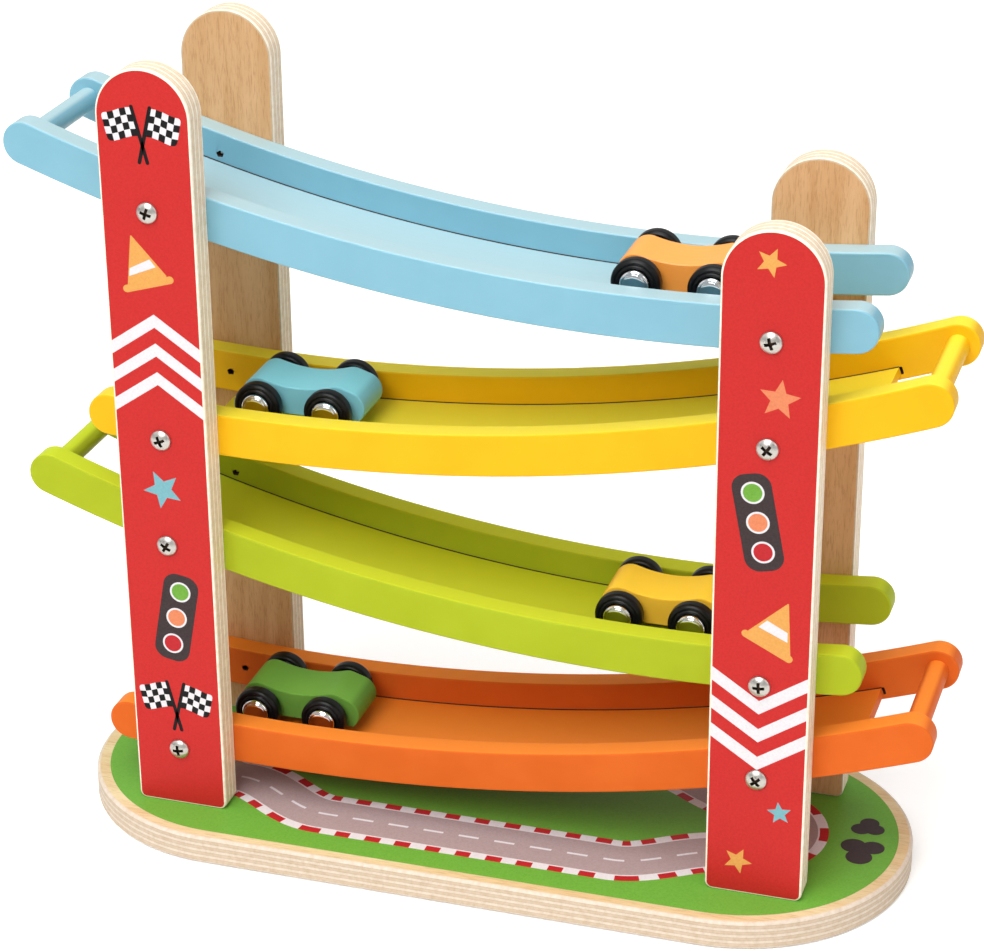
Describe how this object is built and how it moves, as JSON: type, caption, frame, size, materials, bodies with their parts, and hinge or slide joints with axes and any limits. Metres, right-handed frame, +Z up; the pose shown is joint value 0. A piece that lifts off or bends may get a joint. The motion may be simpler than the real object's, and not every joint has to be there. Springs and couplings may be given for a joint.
{
  "type": "click clack track toy",
  "caption": "Wooden click clack car track: curved tracks screwed between round-topped posts on a round-ended base, with small wheeled cars that roll down and drop from track to track.",
  "frame": {"origin": "middle of the base's underside", "axes": "+X along the tracks to the viewer's right, +Y to the back, +Z up"},
  "size_m": [0.3662, 0.14, 0.323],
  "materials": {
    "printed_plywood": "satin varnish over print",
    "blue_track_paint": "gloss paint",
    "yellow_track_paint": "gloss paint",
    "green_track_paint": "gloss paint",
    "orange_track_paint": "gloss paint",
    "orange_car_paint": "gloss paint",
    "blue_car_paint": "gloss paint",
    "yellow_car_paint": "gloss paint",
    "green_car_paint": "gloss paint",
    "screw_steel": "bright zinc",
    "hub_chrome": "polished",
    "tyre_rubber": "matt"
  },
  "bodies": {
    "stand": {"base_board": "printed_plywood", "front_left_post": "printed_plywood", "front_right_post": "printed_plywood", "rear_left_post": "printed_plywood", "rear_right_post": "printed_plywood", "front_post_screws": "screw_steel", "rear_post_screws": "screw_steel", "base_screws": "screw_steel", "blue_front_rail": "blue_track_paint", "blue_rear_rail": "blue_track_paint", "blue_floor": "blue_track_paint", "blue_crossbar": "blue_track_paint", "yellow_front_rail": "yellow_track_paint", "yellow_rear_rail": "yellow_track_paint", "yellow_floor": "yellow_track_paint", "yellow_crossbar": "yellow_track_paint", "green_front_rail": "green_track_paint", "green_rear_rail": "green_track_paint", "green_floor": "green_track_paint", "green_crossbar": "green_track_paint", "orange_front_rail": "orange_track_paint", "orange_rear_rail": "orange_track_paint", "orange_floor": "orange_track_paint", "orange_crossbar": "orange_track_paint"},
    "orange_car": {"orange_car_body": "orange_car_paint"},
    "orange_car_front_wheels": {"orange_car_front_axle": "screw_steel", "orange_car_front_hubs": "hub_chrome", "orange_car_front_tyres": "tyre_rubber"},
    "orange_car_rear_wheels": {"orange_car_rear_axle": "screw_steel", "orange_car_rear_hubs": "hub_chrome", "orange_car_rear_tyres": "tyre_rubber"},
    "blue_car": {"blue_car_body": "blue_car_paint"},
    "blue_car_front_wheels": {"blue_car_front_axle": "screw_steel", "blue_car_front_hubs": "hub_chrome", "blue_car_front_tyres": "tyre_rubber"},
    "blue_car_rear_wheels": {"blue_car_rear_axle": "screw_steel", "blue_car_rear_hubs": "hub_chrome", "blue_car_rear_tyres": "tyre_rubber"},
    "yellow_car": {"yellow_car_body": "yellow_car_paint"},
    "yellow_car_front_wheels": {"yellow_car_front_axle": "screw_steel", "yellow_car_front_hubs": "hub_chrome", "yellow_car_front_tyres": "tyre_rubber"},
    "yellow_car_rear_wheels": {"yellow_car_rear_axle": "screw_steel", "yellow_car_rear_hubs": "hub_chrome", "yellow_car_rear_tyres": "tyre_rubber"},
    "green_car": {"green_car_body": "green_car_paint"},
    "green_car_front_wheels": {"green_car_front_axle": "screw_steel", "green_car_front_hubs": "hub_chrome", "green_car_front_tyres": "tyre_rubber"},
    "green_car_rear_wheels": {"green_car_rear_axle": "screw_steel", "green_car_rear_hubs": "hub_chrome", "green_car_rear_tyres": "tyre_rubber"}
  },
  "joints": [
    {"name": "orange_car_roll", "type": "hinge", "parent": "stand", "child": "orange_car", "pos_m": [0.076, 0, 0.9573], "axis": [0, -1, 0], "range_deg": [-17.2, 1.5]},
    {"name": "orange_car_front_spin", "type": "hinge", "parent": "orange_car", "child": "orange_car_front_wheels", "pos_m": [0.0905, 0, 0.24725], "axis": [0, -1, 0], "continuous": true},
    {"name": "orange_car_rear_spin", "type": "hinge", "parent": "orange_car", "child": "orange_car_rear_wheels", "pos_m": [0.0615, 0, 0.24725], "axis": [0, -1, 0], "continuous": true},
    {"name": "blue_car_roll", "type": "hinge", "parent": "stand", "child": "blue_car", "pos_m": [-0.076, 0, 0.8903], "axis": [0, 1, 0], "range_deg": [-17.2, 1.5]},
    {"name": "blue_car_front_spin", "type": "hinge", "parent": "blue_car", "child": "blue_car_front_wheels", "pos_m": [-0.0615, 0, 0.18025], "axis": [0, 1, 0], "continuous": true},
    {"name": "blue_car_rear_spin", "type": "hinge", "parent": "blue_car", "child": "blue_car_rear_wheels", "pos_m": [-0.0905, 0, 0.18025], "axis": [0, 1, 0], "continuous": true},
    {"name": "yellow_car_roll", "type": "hinge", "parent": "stand", "child": "yellow_car", "pos_m": [0.076, 0, 0.8193], "axis": [0, -1, 0], "range_deg": [-16.8, 1.9]},
    {"name": "yellow_car_front_spin", "type": "hinge", "parent": "yellow_car", "child": "yellow_car_front_wheels", "pos_m": [0.08554, 0, 0.10916], "axis": [0, -1, 0], "continuous": true},
    {"name": "yellow_car_rear_spin", "type": "hinge", "parent": "yellow_car", "child": "yellow_car_rear_wheels", "pos_m": [0.05654, 0, 0.10937], "axis": [0, -1, 0], "continuous": true},
    {"name": "green_car_roll", "type": "hinge", "parent": "stand", "child": "green_car", "pos_m": [-0.076, 0, 0.7533], "axis": [0, 1, 0], "range_deg": [-17.7, 1]},
    {"name": "green_car_front_spin", "type": "hinge", "parent": "green_car", "child": "green_car_front_wheels", "pos_m": [-0.0677, 0, 0.04315], "axis": [0, 1, 0], "continuous": true},
    {"name": "green_car_rear_spin", "type": "hinge", "parent": "green_car", "child": "green_car_rear_wheels", "pos_m": [-0.0967, 0, 0.0434], "axis": [0, 1, 0], "continuous": true}
  ],
  "couplings": [
    {"joint": "orange_car_front_spin", "follows": "orange_car_roll", "ratio": -75.758},
    {"joint": "orange_car_rear_spin", "follows": "orange_car_roll", "ratio": -75.758},
    {"joint": "blue_car_front_spin", "follows": "blue_car_roll", "ratio": -75.758},
    {"joint": "blue_car_rear_spin", "follows": "blue_car_roll", "ratio": -75.758},
    {"joint": "yellow_car_front_spin", "follows": "yellow_car_roll", "ratio": -75.758},
    {"joint": "yellow_car_rear_spin", "follows": "yellow_car_roll", "ratio": -75.758},
    {"joint": "green_car_front_spin", "follows": "green_car_roll", "ratio": -75.758},
    {"joint": "green_car_rear_spin", "follows": "green_car_roll", "ratio": -75.758}
  ]
}
